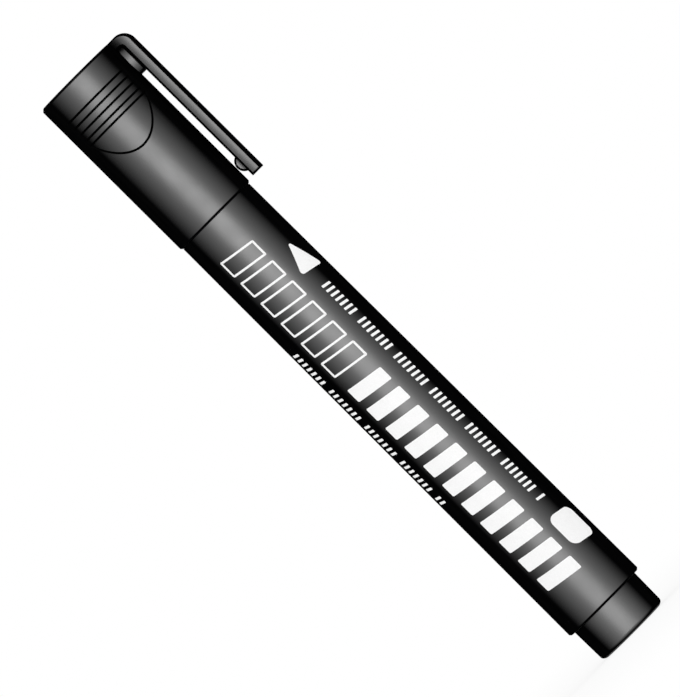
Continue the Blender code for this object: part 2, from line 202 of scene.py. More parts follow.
class MarkerCapSizes(bpy.types.PropertyGroup):
    wall: length("Wall", "Thickness of the cap's wall", 0.0012)
    end_wall: length("End wall", "Thickness of the cap's closed end", 0.0021)
    edge: length("End slope", "Slope round the cap's closed end", 0.00048)
    rim: length("Rim slope", "Slope round the cap's rim", 0.00032)
    snap_height: length("Snap ring", "How far the snap ring stands in from the bore", 0.00035)
    snap_start: length("Snap ring start", "From the rim to the snap ring", 0.0017)
    snap_width: length("Snap ring width", "Width of the snap ring along the axis", 0.0012)
    groove_width: length("Groove width", "Width of a grip groove at the surface", 0.00043)
    grip_start: length("Grip start", "From the cap's end to the first groove", 0.0051)
    grip_pitch: length("Grip pitch", "From one straight groove to the next", 0.00145)
    grip_grooves: count("Grip grooves", "Straight grooves above the tongue", 4, least=1)
    grip_half_angle: degrees("Grip half angle", "Reach of the grip to each side of its middle", 52.5)
    tongue_gap: length("Tongue gap", "From the last straight groove to the tongue", 0.00115)
    tongue_length: length("Tongue length", "Length of the tongue along the axis", 0.0064)


class MarkerClipSizes(bpy.types.PropertyGroup):
    thickness: length("Thickness", "Thickness of the strap", 0.00255)
    leg_underside: length("Leg underside", "From the cap's end to the underside of the clip's leg", 0.0020)
    bend: length("Bend", "Outer radius of the clip's bend", 0.0026)
    inner_bend: length("Inner bend", "Inner radius of the clip's bend", 0.00045)
    chamfer: length("Chamfer", "Slope along the strap's two outer edges", 0.00082)
    end_chamfer: length("End chamfer", "What is left of that slope at the cap's end", 0.0003)
    chamfer_steepness: number("Chamfer steepness", "How much further it reaches on the outer face", 1.3)
    inner_chamfer: length("Inner chamfer", "Slope along the strap's other edges", 0.00038)
    crown: number("Crown", "How fast the clip's sides curve in below its outer face, per metre", 126.0)
    crown_start: length("Crown start", "From the clip's outer face to where its sides curve in", 0.00054)
    tip_reach: length("Tip reach", "How far the strap's tip runs on past its solid", 0.0001)
    post_half_length: length("Post half length", "Half of the post's length along the cap", 0.0032)
    post_half_width: length("Post half width", "Half of the post's width across the clip", 0.0017)
    post_foot: length("Post foot", "Height of the slope where the post meets the strap", 0.00025)
    post_flare: number("Post flare", "How many times as wide the post is at the strap", 1.25)
    post_from_end: length("Post from end", "From the cap's end to the middle of the post", 0.0048)
    bump_from_tip: length("Bump from tip", "From the strap's tip to the middle of its bump", 0.00277)
    bump_gap: length("Bump gap", "Room left between the bump and the cap", 0.00005)
    bump_half_length: length("Bump half length", "Half of the bump's length along the strap", 0.00162)
    bump_half_width: length("Bump half width", "Half of the bump's width across the strap", 0.0019)
    bump_flare: number("Bump flare", "How fast the bump widens towards the strap, per metre", 300.0)
    bump_flare_start: length("Bump flare start", "From the bump's top to where it widens", 0.00042)
    flex_start: length("Flex start", "From the cap's end to where the strap starts to flex", 0.0081)
    flex_end: length("Flex end", "From the cap's end to where the strap moves as one", 0.0121)


class MarkerFrontSizes(bpy.types.PropertyGroup):
    collar_length: length("Collar length", "Length of the holder's collar", 0.0012)
    neck_radius: length("Neck radius", "Radius of the neck that the cap slides over", 0.00642)
    neck_length: length("Neck length", "Length of the neck above the collar", 0.0076)
    bead_height: length("Bead height", "How far the snap bead stands out of the neck", 0.00035)
    bead_start: length("Bead start", "From the collar's underside to the snap bead", 0.0032)
    bead_width: length("Bead width", "Width of the snap bead along the axis", 0.0012)
    shoulder_length: length("Shoulder length", "Length of the slope from neck to nozzle", 0.0020)
    nozzle_radius: length("Nozzle radius", "Radius of the nozzle", 0.0043)
    nozzle_length: length("Nozzle length", "Length of the nozzle's straight part", 0.0060)
    mouth_radius: length("Mouth radius", "Outer radius of the nozzle's mouth", 0.00325)
    nib_bore: length("Nib bore", "Radius of the hole that holds the nib", 0.00215)
    passage_radius: length("Passage radius", "Radius of the hollow behind the nozzle", 0.00522)
    vent_width: length("Vent width", "Width of a vent slot beside the nib", 0.0006)
    vent_depth: length("Vent depth", "Depth of a vent slot beside the nib", 0.0004)
    edge: length("Edge round", "Rounding of the holder's edges", 0.00025)
    nib_tip: length("Nib tip", "Rounding of the nib's tip", 0.0007)
    nib_half_angle: degrees("Nib half angle", "Slope of the nib's cone against its axis", 27.0)
    inner_wall: length("Inner cap wall", "Thickness of the inner cap's sleeve", 0.0008)
    inner_end: length("Inner cap end", "Thickness of the inner cap's end", 0.0012)
    inner_flange: length("Inner cap flange", "Thickness of the inner cap's flange", 0.0016)
    inner_bore: length("Inner cap bore", "Radius of the inner cap's sleeve inside", 0.00445)


class MarkerPrintSizes(bpy.types.PropertyGroup):
    film: length("Ink film", "How far the ink stands above the barrel", 0.00003)
    sunk: length("Ink sunk", "How far the ink reaches into the barrel's surface", 0.00001)
    cut: length("Print cut", "Spacing of the cuts that let the print follow the barrel", 0.0004)
    slant: number("Slant", "How far a mark leans for its height", 0.15)
    band_low: length("Band low", "From the middle of the front down to the bars' lower edge", 0.00597)
    band_high: length("Band high", "From the middle of the front up to the bars' upper edge", 0.00159)
    corner: length("Corner", "Rounding of the bars' corners", 0.0003)
    open_start: length("Open bars start", "From the barrel's front to the first open bar", 0.0064)
    open_pitch: length("Open bar pitch", "From one open bar to the next", 0.00497)
    open_width: length("Open bar width", "Width of an open bar", 0.0036)
    open_line: length("Open bar line", "Thickness of an open bar's line", 0.0004)
    open_bars: count("Open bars", "Number of open bars", 6)
    solid_start: length("Solid bars start", "From the barrel's front to the first solid bar", 0.0379)
    solid_pitch: length("Solid bar pitch", "From one solid bar to the next", 0.00468)
    solid_width: length("Solid bar width", "Width of a solid bar", 0.0029)
    solid_bars: count("Solid bars", "Number of solid bars", 11)
    badge_low: length("Badge low", "From the middle of the front up to the badges' lower edge", 0.0033)
    badge_high: length("Badge high", "From the middle of the front up to the badges' upper edge", 0.0091)
    arrow_corner: length("Arrow corner", "Rounding of the arrow's corners", 0.0009)
    arrow_start: length("Arrow start", "From the barrel's front to the arrow's point", 0.0121)
    arrow_end: length("Arrow end", "From the barrel's front to the arrow's back", 0.0181)
    plate_corner: length("Plate corner", "Rounding of the plate's corners", 0.0015)
    plate_start: length("Plate start", "From the barrel's front to the plate", 0.0785)
    plate_width: length("Plate width", "Width of the plate", 0.0068)
    tick_pitch: length("Tick pitch", "From one tick to the next", 0.0011)
    tick_width: length("Tick width", "Width of a tick", 0.0005)
    tick_height: length("Tick height", "Height of a tick, round the barrel", 0.0021)
    tick_group: count("Tick group", "Ticks from one gap to the next", 8, least=2)
    upper_middle: length("Upper row middle", "From the middle of the front up to the row", 0.0056)
    upper_start: length("Upper row start", "From the barrel's front to the row", 0.0218)
    upper_ticks: count("Upper ticks", "Ticks and gaps in the row", 49)
    lower_middle: length("Lower row middle", "From the middle of the front down to the row", 0.0096)
    lower_start: length("Lower row start", "From the barrel's front to the row", 0.0269)
    lower_ticks: count("Lower ticks", "Ticks and gaps in the row", 34)


class MarkerFinishes(bpy.types.PropertyGroup):
    black: colour("Black plastic", "Barrel, plug, cap and clip", (0.0007, 0.0007, 0.0008, 1.0))
    worn_black: colour("Worn black", "Black plastic where it is rubbed", (0.0016, 0.0016, 0.0017, 1.0))
    holder_black: colour("Holder black", "Nib holder", (0.0020, 0.0020, 0.0022, 1.0))
    white_ink: colour("White ink", "Print on the barrel", (0.88, 0.88, 0.88, 1.0))
    thin_ink: colour("Thin ink", "Print where the ink is thin", (0.83, 0.83, 0.83, 1.0))
    fibre: colour("Inked fibre", "Nib and ink core", (0.016, 0.016, 0.018, 1.0))
    pale_fibre: colour("Dry fibre", "Fibres that stand out of the ink", (0.055, 0.055, 0.062, 1.0))
    milky: colour("Milky plastic", "Inner cap", (0.80, 0.80, 0.77, 1.0))
    milky_shade: colour("Milky shade", "Inner cap where it is thicker", (0.72, 0.72, 0.70, 1.0))
    film: colour("Core film", "Film round the ink core", (0.75, 0.77, 0.78, 1.0))
    floor: colour("Floor", "Studio floor", (0.90, 0.90, 0.90, 1.0))


class MarkerStage(bpy.types.PropertyGroup):
    camera_distance: length("Camera distance", "From the marker's axis to the camera", 3.0)
    frame_width: length("Frame width", "Width of the picture at the marker", 0.119245)
    aim_side: length("Aim side", "Picture's middle, from the axis to the clip's side", -0.001126, least=-1.0)
    aim_height: length("Aim height", "Picture's middle, along the axis from the tail", 0.07148)
    roll: degrees("Roll", "Turn of the camera about its own view", 45.16)
    floor_radius: length("Floor radius", "Reach of the floor", 12.0)
    world_level: number("World level", "Even light from all round", 0.35)


PROPERTY_GROUPS = {
    "marker_barrel": MarkerBarrelSizes,
    "marker_cap": MarkerCapSizes,
    "marker_clip": MarkerClipSizes,
    "marker_front": MarkerFrontSizes,
    "marker_print": MarkerPrintSizes,
    "marker_finishes": MarkerFinishes,
    "marker_stage": MarkerStage,
}


# Meshes


def rounded_outline(corners, closed):
    """Points of an outline in (radius, height), whose corners carry a rounding and become arcs."""
    points = []
    for index, (radius, height, rounding) in enumerate(corners):
        here = Vector((radius, height))
        at_end = not closed and index in (0, len(corners) - 1)
        if rounding == 0 or at_end:
            points.append(here)
            continue
        to_before = (Vector(corners[index - 1][:2]) - here).normalized()
        to_after = (Vector(corners[(index + 1) % len(corners)][:2]) - here).normalized()
        half = to_before.angle(to_after) / 2
        reach = rounding / math.tan(half)
        centre = here + (to_before + to_after).normalized() * rounding / math.sin(half)
        first = here + to_before * reach - centre
        last = here + to_after * reach - centre
        hold = rounding * HOLD_SHARE
        points.append(centre + first + to_before * hold)
        for step in range(ARC_STEPS + 1):
            points.append(centre + first.slerp(last, step / ARC_STEPS).normalized() * rounding)
        points.append(centre + last + to_after * hold)
    return points


def sloped(radius, height, across, along, slope):
    """Two corners that take a slope off a square one; across and along point into the piece, as 1 or -1."""
    rounding = slope * SLOPE_ROUND_SHARE
    near = (radius, height + along * slope, rounding)
    far = (radius + across * slope, height, rounding)
    return near, far


def raised_ring(base, crest, start, end, rounding):
    """Corners of a ring with sloped flanks, which stands off a turned surface from one height to another."""
    flank = (end - start) * FLANK_SHARE
    return [
        (base, start, 0.0),
        (crest, start + flank, rounding),
        (crest, end - flank, rounding),
        (base, end, 0.0),
    ]


def spun(corners, closed, segments):
    """A bmesh turned round the marker's axis from its outline."""
    shape = bmesh.new()
    rim = [shape.verts.new((point.x, 0.0, point.y)) for point in rounded_outline(corners, closed)]
    edges = [shape.edges.new(pair) for pair in zip(rim, rim[1:])]
    if closed:
        edges.append(shape.edges.new((rim[-1], rim[0])))
    bmesh.ops.spin(
        shape,
        geom=rim + edges,
        cent=(0.0, 0.0, 0.0),
        axis=(0.0, 0.0, 1.0),
        angle=2 * math.pi,
        steps=segments,
        use_merge=True,
    )
    bmesh.ops.remove_doubles(shape, verts=shape.verts, dist=WELD)
    bmesh.ops.dissolve_degenerate(shape, edges=shape.edges, dist=WELD)
    bmesh.ops.recalc_face_normals(shape, faces=shape.faces)
    return shape


def cut_across(shape, axis, start, end, cuts):
    """Evenly spaced cuts through a shape, square to an axis."""
    normal = Vector((0.0, 0.0, 0.0))
    normal[axis] = 1.0
    for cut in range(cuts + 1):
        place = normal * (start + (end - start) * cut / cuts)
        geometry = shape.verts[:] + shape.edges[:] + shape.faces[:]
        bmesh.ops.bisect_plane(shape, geom=geometry, dist=WELD, plane_co=place, plane_no=normal)


def new_piece(name, shape, material):
    """An object at the origin from a finished bmesh, in one material."""
    mesh = bpy.data.meshes.new(name)
    shape.to_mesh(mesh)
    shape.free()
    mesh.materials.append(material)
    piece = bpy.data.objects.new(name, mesh)
    bpy.context.scene.collection.objects.link(piece)
    return piece


def settle(piece):
    """Make a piece's modifiers part of its mesh."""
    bpy.context.view_layer.update()
    graph = bpy.context.evaluated_depsgraph_get()
    drawn = piece.data
    finished = bpy.data.meshes.new_from_object(piece.evaluated_get(graph))
    if not finished.polygons:
        raise RuntimeError(f"{piece.name} has no faces left")
    piece.modifiers.clear()
    piece.data = finished
    bpy.data.meshes.remove(drawn)
    finished.name = piece.name


def combine(piece, shape, operation, material):
    """Join a bmesh to a piece, or cut it away; the faces that it leaves take its material."""
    other = new_piece("guide", shape, material)
    change = piece.modifiers.new(operation, "BOOLEAN")
    change.operation = operation
    change.solver = "EXACT"
    change.material_mode = "TRANSFER"
    change.object = other
    settle(piece)
    bpy.data.objects.remove(other, do_unlink=True)


def smooth(piece, angle=SHARP_ANGLE):
    """Smooth shading that keeps corners past an angle sharp."""
    piece.data.shade_smooth()
    piece.data.set_sharp_from_angle(angle=angle)


def set_on_frame(piece, body, slot, *nodes):
    """Shade a rigid piece, which rides a body and stands for its nodes. The slot is not used."""
    smooth(piece)
    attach(piece, body)
    if nodes:
        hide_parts(*nodes)


# Materials


def add_node(tree, kind, inputs, output=0, **settings):
    """An output of a new node, whose inputs are set to values or linked to other nodes' outputs."""
    made = tree.nodes.new(kind)
    for name, value in settings.items():
        setattr(made, name, value)
    for key, value in inputs.items():
        if isinstance(value, bpy.types.NodeSocket):
            tree.links.new(value, made.inputs[key])
        else:
            made.inputs[key].default_value = value
    return made.outputs[output]


def calculate(tree, operation, *values, **settings):
    """The result of a Math node."""
    return add_node(tree, "ShaderNodeMath", dict(enumerate(values)), operation=operation, **settings)


def map_range(tree, value, start, end, low, high, kind="LINEAR"):
    """A value carried from one range over to another."""
    inputs = {"Value": value, "From Min": start, "From Max": end, "To Min": low, "To Max": high}
    return add_node(tree, "ShaderNodeMapRange", inputs, interpolation_type=kind)


def stretched(tree, along=1.0):
    """Object coordinates scaled along the marker's axis; below 1, a noise on them runs in streaks."""
    place = add_node(tree, "ShaderNodeTexCoord", {}, "Object")
    return add_node(tree, "ShaderNodeMapping", {"Vector": place, "Scale": (1.0, 1.0, along)})


def noise(tree, place, scale, detail):
    """The value of a noise with features of about 1/scale metres."""
    inputs = {"Vector": place, "Scale": scale, "Detail": detail}
    return add_node(tree, "ShaderNodeTexNoise", inputs, "Fac")


def spread(tree, value, low, high):
    """A noise's middle range, spread from one number to another."""
    return map_range(tree, value, NOISE_LOW, NOISE_HIGH, low, high)


def mixed(tree, value, first, second, most=1.0):
    """A colour that goes from one towards another as a noise rises."""
    made = tree.nodes.new("ShaderNodeMix")
    made.data_type = "RGBA"
    sockets = {socket.identifier: socket for socket in [*made.inputs, *made.outputs]}
    tree.links.new(spread(tree, value, 0.0, most), sockets["Factor_Float"])
    sockets["A_Color"].default_value = tuple(first)
    sockets["B_Color"].default_value = tuple(second)
    return sockets["Result_Color"]


def new_material(name, constants):
    """A material with its node tree and shader, whose constant inputs are set."""
    made = bpy.data.materials.new(name)
    made.use_nodes = True
    shader = made.node_tree.nodes["Principled BSDF"]
    for key, value in constants.items():
        shader.inputs[key].default_value = value
    return made, made.node_tree, shader


def dress(tree, shader, tone, roughness, height, strength, depth):
    """Link a shader to its colour, its roughness and a bump with a depth in metres."""
    bump = add_node(tree, "ShaderNodeBump", {"Height": height, "Strength": strength, "Distance": depth})
    for key, value in {"Base Color": tone, "Roughness": roughness, "Normal": bump}.items():
        tree.links.new(value, shader.inputs[key])


def gloss_level(tree, gloss):
    """The gloss of a surface that faces the eye, dying away towards the edges but not on flat ends."""
    facing = add_node(tree, "ShaderNodeLayerWeight", {}, "Facing")
    fade = map_range(tree, facing, 0.0, FADE_END, 1.0, 0.0, "SMOOTHSTEP")
    on_side = calculate(tree, "POWER", fade, FADE_POWER)
    normal = add_node(tree, "ShaderNodeTexCoord", {}, "Normal")
    upright = add_node(tree, "ShaderNodeSeparateXYZ", {"Vector": normal}, "Z")
    flat = map_range(tree, calculate(tree, "ABSOLUTE", upright), FLAT_START, 1.0, 0.0, END_GLOSS)
    grazing = map_range(tree, facing, GRAZING_START, GRAZING_END, 1.0, 0.0)
    on_end = calculate(tree, "MULTIPLY", flat, grazing)
    return calculate(tree, "MULTIPLY", calculate(tree, "MAXIMUM", on_side, on_end), gloss)


def black_plastic(name, fresh, worn, index, gloss=FULL_GLOSS):
    """Satin moulded plastic: fine grain, soft mottling, faint rubbing, and gloss that dies away at edges."""
    material, tree, shader = new_material(name, {"IOR": index})
    place = stretched(tree)
    mottle = noise(tree, place, scale=260.0, detail=3.0)
    rub = noise(tree, stretched(tree, along=0.12), scale=900.0, detail=5.0)
    grain = noise(tree, place, scale=9000.0, detail=2.0)
    roughness = spread(tree, mottle, low=0.40, high=0.44)
    dress(tree, shader, mixed(tree, rub, fresh, worn), roughness, grain, strength=0.10, depth=0.00001)
    tree.links.new(gloss_level(tree, gloss), shader.inputs["Specular IOR Level"])
    return material


def white_ink(name, full, thin):
    """Screen-printed ink: nearly even, with thin specks and a dry surface."""
    material, tree, shader = new_material(name, {"Specular IOR Level": 0.12})
    place = stretched(tree)
    specks = noise(tree, place, scale=5200.0, detail=3.0)
    roughness = spread(tree, noise(tree, place, scale=1600.0, detail=2.0), low=0.62, high=0.74)
    dress(tree, shader, mixed(tree, specks, thin, full), roughness, specks, strength=0.15, depth=0.00001)
    return material


def fibre(name, inked, dry):
    """Pressed fibre soaked with ink: strands along the axis, the odd one paler."""
    material, tree, shader = new_material(name, {"Specular IOR Level": 0.3})
    strands = noise(tree, stretched(tree, along=0.06), scale=7000.0, detail=4.0)
    felt = noise(tree, stretched(tree), scale=4200.0, detail=5.0)
    roughness = spread(tree, felt, low=0.70, high=0.95)
    both = calculate(tree, "ADD", strands, felt)
    dress(tree, shader, mixed(tree, strands, inked, dry), roughness, both, strength=0.55, depth=0.00006)
    return material


def milky_plastic(name, fair, shaded):
    """Soft sealing plastic that lets a little light in."""
    material, tree, shader = new_material(name, {"Subsurface Weight": 0.15, "Subsurface Scale": 0.001})
    place = stretched(tree)
    cloud = noise(tree, place, scale=320.0, detail=3.0)
    grain = noise(tree, place, scale=8000.0, detail=2.0)
    roughness = spread(tree, cloud, low=0.40, high=0.50)
    dress(tree, shader, mixed(tree, cloud, fair, shaded), roughness, grain, strength=0.08, depth=0.00001)
    return material


def clear_film(name, tint, inked):
    """Thin film with fine creases, darkened by the ink behind it."""
    material, tree, shader = new_material(name, {})
    crease = noise(tree, stretched(tree, along=0.2), scale=1500.0, detail=3.0)
    roughness = spread(tree, crease, low=0.14, high=0.26)
    tone = mixed(tree, crease, tint, inked, most=0.6)
    dress(tree, shader, tone, roughness, crease, strength=0.2, depth=0.00003)
    return material


# Barrel, plug and print


class MARKER_OT_barrel(bpy.types.Operator):
    """Turn the tapered barrel and the plug in its tail"""

    bl_idname = "marker.barrel"
    bl_label = "Barrel and plug"

    def execute(self, context):
        sizes = context.scene.marker_barrel
        finishes = context.scene.marker_finishes
        bore = sizes.front_radius - sizes.wall
        top = BARREL_HIGH.z - sizes.seam
        bottom = sizes.plug_head + sizes.seam
        front_side, front_rim = sloped(sizes.front_radius, top, -1, -1, sizes.front_slope)
        tail_side, tail_rim = sloped(sizes.tail_radius, bottom, -1, 1, sizes.tail_slope)
        barrel_corners = [front_rim, front_side, tail_side, tail_rim]
        barrel_corners += [(bore, bottom, sizes.fit_gap), (bore, top, sizes.fit_gap)]
        plastic = black_plastic("barrel_plastic", finishes.black, finishes.worn_black, BARREL_INDEX)
        barrel = new_piece("barrel_tube", spun(barrel_corners, True, sizes.segments), plastic)
        set_on_frame(barrel, "marker_body", "barrel_plastic", "barrel")

        stem = bore - sizes.fit_gap
        hollow = stem - sizes.plug_wall
        head = PLUG_HIGH.y
        shoulder = head - sizes.plug_draft - sizes.plug_round
        plug_end = []
        for step in range(2 * ARC_STEPS + 1):
            angle = math.pi / 2 * step / (2 * ARC_STEPS)
            radius = shoulder + sizes.plug_round * math.cos(angle)
            plug_end.append((radius, PLUG_LOW.z + sizes.plug_round_along * (1 - math.sin(angle)), 0.0))
        plug_corners = [
            (0.0, sizes.plug_end_wall, 0.0),
            (hollow, sizes.plug_end_wall, sizes.plug_edge),
            (hollow, PLUG_HIGH.z, 0.0),
            (stem, PLUG_HIGH.z, sizes.plug_edge),
            (stem, sizes.plug_head, 0.0),
            (head, sizes.plug_head, sizes.plug_edge),
            *plug_end,
            (0.0, PLUG_LOW.z, 0.0),
        ]
        plastic = black_plastic("plug_plastic", finishes.black, finishes.worn_black, PLUG_INDEX)
        plug = new_piece("end_plug", spun(plug_corners, False, sizes.segments), plastic)
        set_on_frame(plug, "marker_body", "plug_plastic", "tail_plug")
        return {"FINISHED"}


def flat_mark(shape, corners, rounding):
    """A flat printed shape with round corners, from (side, distance from the barrel's front) points."""
    face = shape.faces.new([shape.verts.new((side, -reach, 0.0)) for side, reach in corners])
    if face.calc_area() == 0:
        raise RuntimeError("a printed mark has no area")
    face.normal_update()
    if face.normal.z < 0:
        face.normal_flip()
    before = set(shape.faces) - {face}
    bmesh.ops.bevel(
        shape,
        geom=list(face.verts),
        offset=rounding,
        affect="VERTICES",
        segments=ARC_STEPS,
        profile=0.5,
        material=-1,
    )
    return [made for made in shape.faces if made not in before]


class MARKER_OT_print(bpy.types.Operator):
    """Lay the white print on the barrel as a thin film of ink"""

    bl_idname = "marker.print"
    bl_label = "Print"

    def draw_marks(self, shape, sizes):
        """All marks, laid out flat."""

        def leaning(low, high, start, width):
            lean = sizes.slant * (high - low)
            return [(low, start), (low, start + width), (high, start + width + lean), (high, start + lean)]

        def tick_row(middle, start, ticks):
            low = middle - sizes.tick_height / 2
            high = middle + sizes.tick_height / 2
            for tick in range(ticks):
                if (tick + 1) % sizes.tick_group:
                    corners = leaning(low, high, start + sizes.tick_pitch * tick, sizes.tick_width)
                    flat_mark(shape, corners, sizes.tick_width * TICK_ROUND_SHARE)

        low, high = -sizes.band_low, sizes.band_high
        for bar in range(sizes.open_bars):
            start = sizes.open_start + sizes.open_pitch * bar
            faces = flat_mark(shape, leaning(low, high, start, sizes.open_width), sizes.corner)
            bmesh.ops.inset_region(shape, faces=faces, thickness=sizes.open_line, use_boundary=True)
            bmesh.ops.delete(shape, geom=faces, context="FACES_ONLY")
        for bar in range(sizes.solid_bars):
            start = sizes.solid_start + sizes.solid_pitch * bar
            flat_mark(shape, leaning(low, high, start, sizes.solid_width), sizes.corner)
        low, high = sizes.badge_low, sizes.badge_high
        flat_mark(shape, leaning(low, high, sizes.plate_start, sizes.plate_width), sizes.plate_corner)
        point = ((low + high) / 2, sizes.arrow_start)
        back = leaning(low, high, sizes.arrow_start, sizes.arrow_end - sizes.arrow_start)[1:3]
        flat_mark(shape, [point] + back, sizes.arrow_corner)
        tick_row(sizes.upper_middle, sizes.upper_start, sizes.upper_ticks)
        tick_row(-sizes.lower_middle, sizes.lower_start, sizes.lower_ticks)

    def execute(self, context):
        sizes = context.scene.marker_print
        barrel = context.scene.marker_barrel
        finishes = context.scene.marker_finishes
        shape = bmesh.new()
        self.draw_marks(shape, sizes)
        cuts = int(math.pi / 2 * barrel.tail_radius / sizes.cut)
        cut_across(shape, 0, -cuts * sizes.cut, cuts * sizes.cut, 2 * cuts)
        lifted = bmesh.ops.extrude_face_region(shape, geom=shape.faces[:], use_keep_orig=True)
        skin = {item for item in lifted["geom"] if isinstance(item, bmesh.types.BMVert)}
        barrel_length = BARREL_HIGH.z - BARREL_LOW.z
        middle_radius = (barrel.front_radius + barrel.tail_radius) / 2
        for vert in shape.verts:
            side, from_front = vert.co.x, -vert.co.y
            taper = (barrel.tail_radius - barrel.front_radius) * from_front / barrel_length
            radius = barrel.front_radius + taper + (sizes.film if vert in skin else -sizes.sunk)
            angle = side / middle_radius
            vert.co = (radius * math.sin(angle), -radius * math.cos(angle), BARREL_HIGH.z - from_front)
        bmesh.ops.recalc_face_normals(shape, faces=shape.faces)
        ink = white_ink("white_print", finishes.white_ink, finishes.thin_ink)
        set_on_frame(new_piece("barrel_print", shape, ink), "marker_body", "white_print")
        return {"FINISHED"}


# Cap and clip


def sweep_groove(shape, points, radius):
    """A three-sided bar along a line of points on the cap, with one edge turned to the cap's axis."""
    rings = []
    for index, point in enumerate(points):
        before = points[max(index - 1, 0)]
        after = points[min(index + 1, len(points) - 1)]
        inward = -Vector((point.x, point.y, 0.0)).normalized()
        across = inward.cross(after - before).normalized()
        place = Matrix((across, inward, across.cross(inward))).transposed().to_4x4()
        place.translation = point
        made = bmesh.ops.create_circle(shape, radius=radius, segments=GROOVE_SIDES, matrix=place)
        rings.append(list({edge for vert in made["verts"] for edge in vert.link_edges}))
    for first, second in zip(rings, rings[1:]):
        bmesh.ops.bridge_loops(shape, edges=first + second)
    bmesh.ops.contextual_create(shape, geom=rings[0])
    bmesh.ops.contextual_create(shape, geom=rings[-1])
    bmesh.ops.recalc_face_normals(shape, faces=shape.faces)


class MARKER_OT_cap(bpy.types.Operator):
    """Turn the cap, join the clip's post to it and cut the grip grooves"""

    bl_idname = "marker.cap"
    bl_label = "Cap"

    def make_post(self, clip, wall_middle):
        """The post between the cap and the strap, longer than it is wide."""
        half = clip.post_half_length
        inner = CLIP_HIGH.x - clip.thickness
        heights = (wall_middle, inner - clip.post_foot, inner, inner + clip.thickness / 2)
        rim = [(half, height, 0.0) for height in heights]
        shape = spun([(0.0, heights[0], 0.0), *rim, (0.0, heights[-1], 0.0)], False, POST_SEGMENTS)
        place = Matrix.Translation((0.0, 0.0, CAP_HIGH.z - clip.post_from_end))
        flat = Matrix.Diagonal((1.0, clip.post_half_width / half, 1.0, 1.0))
        turn = place @ flat @ Matrix.Rotation(math.pi / 2, 4, "Y")
        bmesh.ops.transform(shape, matrix=turn, verts=shape.verts)
        for vert in shape.verts:
            if vert.co.x > inner - WELD:
                vert.co.y *= clip.post_flare
        return shape

    def grip_grooves(self, sizes):
        """Cutters for the straight grooves and, apart, for the tongue's bow, on both faces of the cap."""
        depth = sizes.groove_width / 2 * math.tan(GROOVE_SLOPE)
        section = depth * (1 + GROOVE_PROUD) / GROOVE_HEIGHT
        ring = CAP_HIGH.y - depth + section
        starts = [sizes.grip_start + sizes.grip_pitch * groove for groove in range(sizes.grip_grooves)]
        base = starts[-1] + sizes.tongue_gap
        straight = bmesh.new()
        bow = bmesh.new()

        def add_groove(shape, face, from_end, bulge):
            """A cutter across one face of the cap, which bulges towards the rim in its middle."""
            points = []
            for step in range(GROOVE_STEPS + 1):
                share = 2 * step / GROOVE_STEPS - 1
                angle = face + share * sizes.grip_half_angle
                height = CAP_HIGH.z - from_end - bulge * (1 - share**2)
                points.append(Vector((ring * math.sin(angle), -ring * math.cos(angle), height)))
            sweep_groove(shape, points, section)

        for face in (0.0, math.pi):
            for from_end in starts + [base]:
                add_groove(straight, face, from_end, 0.0)
            add_groove(bow, face, base, sizes.tongue_length)
        return straight, bow

    def execute(self, context):
        sizes = context.scene.marker_cap
        finishes = context.scene.marker_finishes
        radius = CAP_HIGH.y
        rim = BARREL_HIGH.z
        end = CAP_HIGH.z
        inside = end - sizes.end_wall
        bore = radius - sizes.wall
        ring_low = CAP_LOW.z + sizes.snap_start
        ring_high = ring_low + sizes.snap_width
        end_side, end_face = sloped(radius, end, -1, -1, sizes.edge)
        rim_side, rim_face = sloped(radius, rim, -1, 1, sizes.rim)
        corners = [
            (0.0, end, 0.0),
            end_face,
            end_side,
            rim_side,
            rim_face,
            (bore, rim, sizes.rim),
            *raised_ring(bore, bore - sizes.snap_height, ring_low, ring_high, sizes.edge / 4),
            (bore, inside, sizes.edge),
            (0.0, inside, 0.0),
        ]
        plastic = black_plastic("cap_plastic", finishes.black, finishes.worn_black, CAP_INDEX)
        # Near-matt copy of the cap's plastic for the grooves' faces: painted shade that keeps the grooves
        # dark
        groove_shade_plastic = black_plastic("groove_painted_shade", finishes.black, finishes.worn_black, CAP_INDEX, GROOVE_SHADE_GLOSS)
        cap = new_piece("cap_cover", spun(corners, False, context.scene.marker_barrel.segments), plastic)
        post = self.make_post(context.scene.marker_clip, radius - sizes.wall / 2)
        combine(cap, post, "UNION", plastic)
        for cutter in self.grip_grooves(sizes):
            combine(cap, cutter, "DIFFERENCE", groove_shade_plastic)
        set_on_frame(cap, "cap", "cap_plastic", "cap_shell")
        return {"FINISHED"}


def slab(outline, half_width):
    """A bmesh from an outline in X and Z, as thick across the clip as asked."""
    shape = bmesh.new()
    face = shape.faces.new([shape.verts.new((point.x, -half_width, point.y)) for point in outline])
    grown = bmesh.ops.extrude_face_region(shape, geom=[face], use_keep_orig=True)
    far = [item for item in grown["geom"] if isinstance(item, bmesh.types.BMVert)]
    bmesh.ops.translate(shape, verts=far, vec=(0.0, 2 * half_width, 0.0))
    bmesh.ops.recalc_face_normals(shape, faces=shape.faces)
    return shape


def chamfer(shape, edges, offset):
    """Slope off a shape's edges."""
    bmesh.ops.bevel(shape, geom=edges, offset=offset, affect="EDGES", segments=1, profile=0.5, material=-1)


def square_edges(shape, half_width):
    """Square edges along the two flat sides of a slab."""
    found = []
    for edge in shape.edges:
        first, last = (vert.co for vert in edge.verts)
        on_side = abs(abs(first.y) - half_width) < WELD and abs(first.y - last.y) < WELD
        if on_side and edge.calc_face_angle() > SQUARE_ANGLE:
            found.append(edge)
    return found


